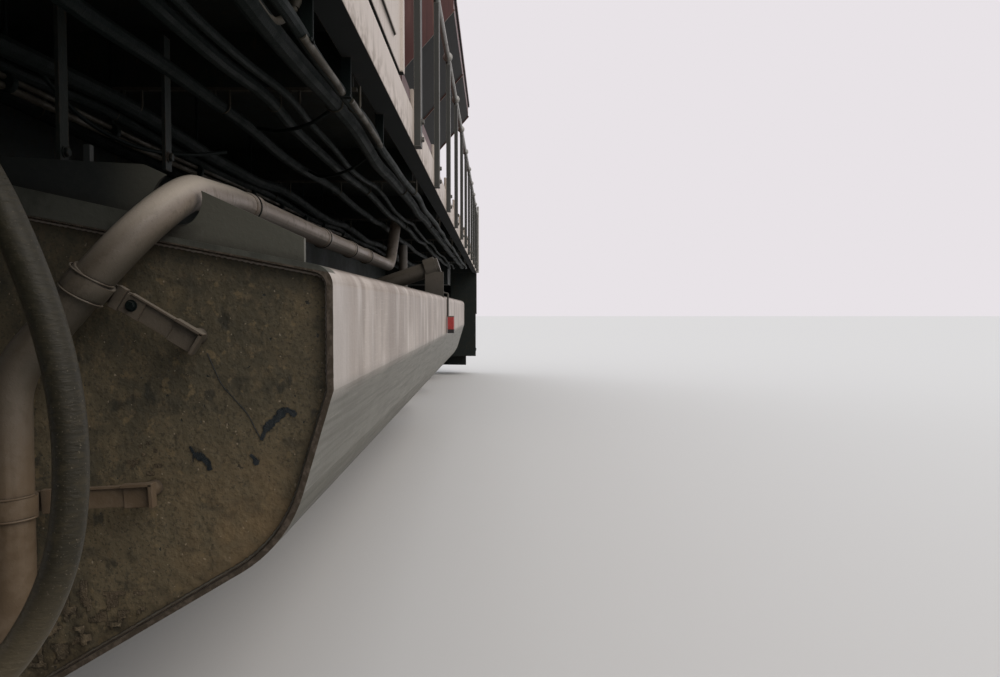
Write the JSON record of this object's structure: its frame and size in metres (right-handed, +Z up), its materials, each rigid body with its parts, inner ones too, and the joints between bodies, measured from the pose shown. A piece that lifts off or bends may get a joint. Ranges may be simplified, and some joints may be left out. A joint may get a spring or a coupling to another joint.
{
  "type": "diesel-electric locomotive",
  "caption": "Wide-cab diesel-electric road locomotive with a bevelled fuel tank under its platform, side walkways with handrails and a flared radiator hood.",
  "frame": {"origin": "on the floor under the middle of the locomotive, where the wheel flanges stand", "axes": "+X forward, towards the cab; +Y the locomotive's left side; +Z up"},
  "size_m": [22.3, 3.208, 4.78],
  "materials": {
    "body_cream": "satin, weathered",
    "cable_black": "matt",
    "cast_dark": "as cast, oily",
    "desk_grey": "satin",
    "glass": "clear, tinted",
    "hood_maroon": "satin, weathered",
    "horn_metal": "satin",
    "hose_rubber": "matt",
    "lamp_housing": "satin",
    "pipe_taupe": "matt, dirty",
    "rail_grey": "satin",
    "seat_vinyl": "satin",
    "spring_steel": "matt",
    "tank_paint": "matt, streaked",
    "underframe_black": "matt, dirty",
    "wheel_steel": "rolled bright on the tread"
  },
  "bodies": {
    "locomotive": {"air_reservoirs": "underframe_black", "blower_hood": "hood_maroon", "bolsters": "underframe_black", "cab_floor": "desk_grey", "cab_front_wall": "body_cream", "cab_glass": "glass", "cab_left_wall": "body_cream", "cab_rear_wall": "body_cream", "cab_right_wall": "body_cream", "cab_roof": "body_cream", "centre_sills": "underframe_black", "control_desk": "desk_grey", "crew_seats": "seat_vinyl", "cross_bearers": "underframe_black", "deck": "underframe_black", "draft_boxes": "underframe_black", "drain_hose": "hose_rubber", "end_rails": "rail_grey", "engine_block": "cast_dark", "engine_hood": "hood_maroon", "equipment_cabinet": "body_cream", "exhaust_stack": "underframe_black", "front_pilot": "underframe_black", "fuel_fillers": "pipe_taupe", "fuel_tank": "tank_paint", "horn": "horn_metal", "hose_fittings": "underframe_black", "lamps": "lamp_housing", "left_rail": "rail_grey", "nose": "body_cream", "radiator_hood": "hood_maroon", "rear_pilot": "underframe_black", "right_rail": "rail_grey", "side_sills": "body_cream", "tank_pipe": "pipe_taupe", "underdeck_cables": "cable_black"},
    "front_bogie": {"front_bogie_frame": "cast_dark", "front_axle_boxes": "cast_dark", "front_springs": "spring_steel", "front_motors": "cast_dark", "front_brakes": "cast_dark"},
    "front_wheelset_1": {"front_wheelset_1": "wheel_steel"},
    "front_wheelset_2": {"front_wheelset_2": "wheel_steel"},
    "front_wheelset_3": {"front_wheelset_3": "wheel_steel"},
    "front_coupler": {"front_coupler": "cast_dark"},
    "rear_bogie": {"rear_bogie_frame": "cast_dark", "rear_axle_boxes": "cast_dark", "rear_springs": "spring_steel", "rear_motors": "cast_dark", "rear_brakes": "cast_dark"},
    "rear_wheelset_1": {"rear_wheelset_1": "wheel_steel"},
    "rear_wheelset_2": {"rear_wheelset_2": "wheel_steel"},
    "rear_wheelset_3": {"rear_wheelset_3": "wheel_steel"},
    "rear_coupler": {"rear_coupler": "cast_dark"},
    "nose_door": {"nose_door": "body_cream"},
    "cab_rear_door": {"cab_rear_door": "body_cream"},
    "hood_door_left_rear": {"hood_door_left_rear": "hood_maroon"},
    "hood_door_left_front": {"hood_door_left_front": "hood_maroon"},
    "hood_door_right_rear": {"hood_door_right_rear": "hood_maroon"},
    "hood_door_right_front": {"hood_door_right_front": "hood_maroon"}
  },
  "joints": [
    {"name": "front_bogie_yaw", "type": "hinge", "parent": "locomotive", "child": "front_bogie", "pos_m": [7, 0, 1.19], "axis": [0, 0, 1], "range_deg": [-5, 5]},
    {"name": "front_wheelset_1_spin", "type": "hinge", "parent": "front_bogie", "child": "front_wheelset_1", "pos_m": [4.99, 0, 0.5615], "axis": [0, 1, 0], "continuous": true},
    {"name": "front_wheelset_2_spin", "type": "hinge", "parent": "front_bogie", "child": "front_wheelset_2", "pos_m": [7, 0, 0.5615], "axis": [0, 1, 0], "continuous": true},
    {"name": "front_wheelset_3_spin", "type": "hinge", "parent": "front_bogie", "child": "front_wheelset_3", "pos_m": [9.01, 0, 0.5615], "axis": [0, 1, 0], "continuous": true},
    {"name": "front_coupler_swing", "type": "hinge", "parent": "locomotive", "child": "front_coupler", "pos_m": [9.9, 0, 0.904], "axis": [0, 0, 1], "range_deg": [-7, 7]},
    {"name": "rear_bogie_yaw", "type": "hinge", "parent": "locomotive", "child": "rear_bogie", "pos_m": [-7, 0, 1.19], "axis": [0, 0, 1], "range_deg": [-5, 5]},
    {"name": "rear_wheelset_1_spin", "type": "hinge", "parent": "rear_bogie", "child": "rear_wheelset_1", "pos_m": [-9.01, 0, 0.5615], "axis": [0, 1, 0], "continuous": true},
    {"name": "rear_wheelset_2_spin", "type": "hinge", "parent": "rear_bogie", "child": "rear_wheelset_2", "pos_m": [-7, 0, 0.5615], "axis": [0, 1, 0], "continuous": true},
    {"name": "rear_wheelset_3_spin", "type": "hinge", "parent": "rear_bogie", "child": "rear_wheelset_3", "pos_m": [-4.99, 0, 0.5615], "axis": [0, 1, 0], "continuous": true},
    {"name": "rear_coupler_swing", "type": "hinge", "parent": "locomotive", "child": "rear_coupler", "pos_m": [-9.9, 0, 0.904], "axis": [0, 0, 1], "range_deg": [-7, 7]},
    {"name": "nose_door_hinge", "type": "hinge", "parent": "locomotive", "child": "nose_door", "pos_m": [9.264, 0.7175, 2.5], "axis": [0, 0, 1], "range_deg": [0, 110]},
    {"name": "cab_rear_door_hinge", "type": "hinge", "parent": "locomotive", "child": "cab_rear_door", "pos_m": [4.886, -0.9625, 3], "axis": [0, 0, -1], "range_deg": [0, 85]},
    {"name": "hood_door_left_rear_hinge", "type": "hinge", "parent": "locomotive", "child": "hood_door_left_rear", "pos_m": [-2.4975, 0.914, 2.7], "axis": [0, 0, 1], "range_deg": [0, 160]},
    {"name": "hood_door_left_front_hinge", "type": "hinge", "parent": "locomotive", "child": "hood_door_left_front", "pos_m": [-1.3125, 0.914, 2.7], "axis": [0, 0, -1], "range_deg": [0, 160]},
    {"name": "hood_door_right_rear_hinge", "type": "hinge", "parent": "locomotive", "child": "hood_door_right_rear", "pos_m": [-2.4975, -0.914, 2.7], "axis": [0, 0, -1], "range_deg": [0, 160]},
    {"name": "hood_door_right_front_hinge", "type": "hinge", "parent": "locomotive", "child": "hood_door_right_front", "pos_m": [-1.3125, -0.914, 2.7], "axis": [0, 0, 1], "range_deg": [0, 160]}
  ]
}
